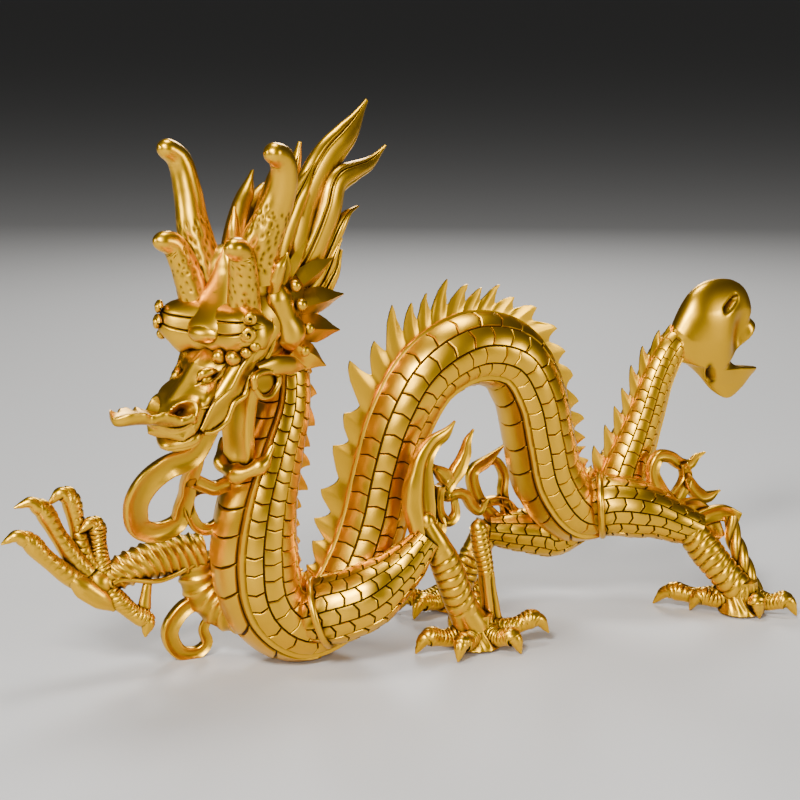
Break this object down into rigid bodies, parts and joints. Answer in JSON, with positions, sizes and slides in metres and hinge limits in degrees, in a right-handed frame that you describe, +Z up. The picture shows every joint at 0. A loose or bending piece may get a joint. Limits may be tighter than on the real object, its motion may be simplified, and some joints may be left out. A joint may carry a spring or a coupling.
{
  "type": "dragon sculpture",
  "caption": "Cast brass dragon ornament, striding with an arched scaly body, toothed crest, flame mane, antlers, a raised open paw and a curled leaf tail; stands on its feet and chest.",
  "frame": {"origin": "middle of the casting's box, on the floor it stands on", "axes": "+X from the head towards the tail, +Z up, -Y on the dragon's left, the side the picture shows"},
  "size_m": [0.4302, 0.1244, 0.2752],
  "materials": {
    "brass": "polished brass with brown patina in the grooves"
  },
  "bodies": {
    "root": {"dragon": "brass"}
  },
  "joints": []
}
